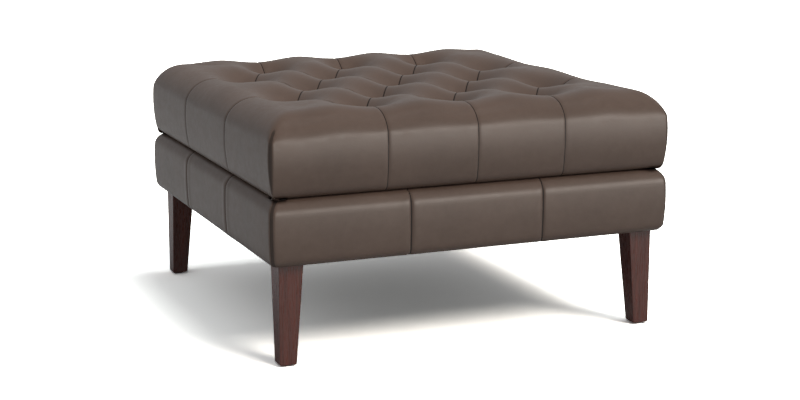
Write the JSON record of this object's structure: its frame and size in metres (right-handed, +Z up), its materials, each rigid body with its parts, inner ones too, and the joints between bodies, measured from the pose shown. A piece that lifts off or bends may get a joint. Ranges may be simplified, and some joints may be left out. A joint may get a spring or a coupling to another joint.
{
  "type": "ottoman coffee table",
  "caption": "Square low ottoman used as a coffee table: deep tufted leather cushion on a padded leather base, with tapered wooden corner legs.",
  "frame": {"origin": "on the floor, under the middle of the plan", "axes": "+Z up, X along the front, -Y towards the front"},
  "size_m": [0.762, 0.762, 0.4472],
  "materials": {
    "leather": "smooth semi-matt upholstery leather, taupe brown",
    "leg_wood": "dark red-brown stain under satin lacquer",
    "glide_nylon": "moulded nylon",
    "zinc_steel": "zinc plated",
    "frame_wood": "planed, unfinished",
    "plywood": "unfinished plywood",
    "foam": "open-cell foam",
    "wadding": "fibre wadding",
    "twine": "waxed twine",
    "black_cloth": "black woven dust cloth"
  },
  "bodies": {
    "root": {"leg_front_left": "leg_wood", "leg_front_right": "leg_wood", "leg_back_left": "leg_wood", "leg_back_right": "leg_wood", "glide_front_left": "glide_nylon", "glide_front_right": "glide_nylon", "glide_back_left": "glide_nylon", "glide_back_right": "glide_nylon", "hanger_bolts": "zinc_steel", "threaded_inserts": "zinc_steel", "corner_post_front_left": "frame_wood", "corner_post_front_right": "frame_wood", "corner_post_back_left": "frame_wood", "corner_post_back_right": "frame_wood", "rail_right": "frame_wood", "rail_back": "frame_wood", "rail_left": "frame_wood", "rail_front": "frame_wood", "stretcher_left": "frame_wood", "stretcher_right": "frame_wood", "frame_dowels": "frame_wood", "base_cover_right": "leather", "base_cover_back": "leather", "base_cover_left": "leather", "base_cover_front": "leather", "base_pad_right": "foam", "base_pad_back": "foam", "base_pad_left": "foam", "base_pad_front": "foam", "dust_cover": "black_cloth", "dust_cover_staples": "zinc_steel", "cushion_board": "plywood", "angle_brackets": "zinc_steel", "bracket_screws": "zinc_steel", "cushion_foam": "foam", "cushion_wadding": "wadding", "tufting_twine": "twine", "tuft_washers": "zinc_steel", "cushion_cover": "leather"}
  },
  "joints": []
}
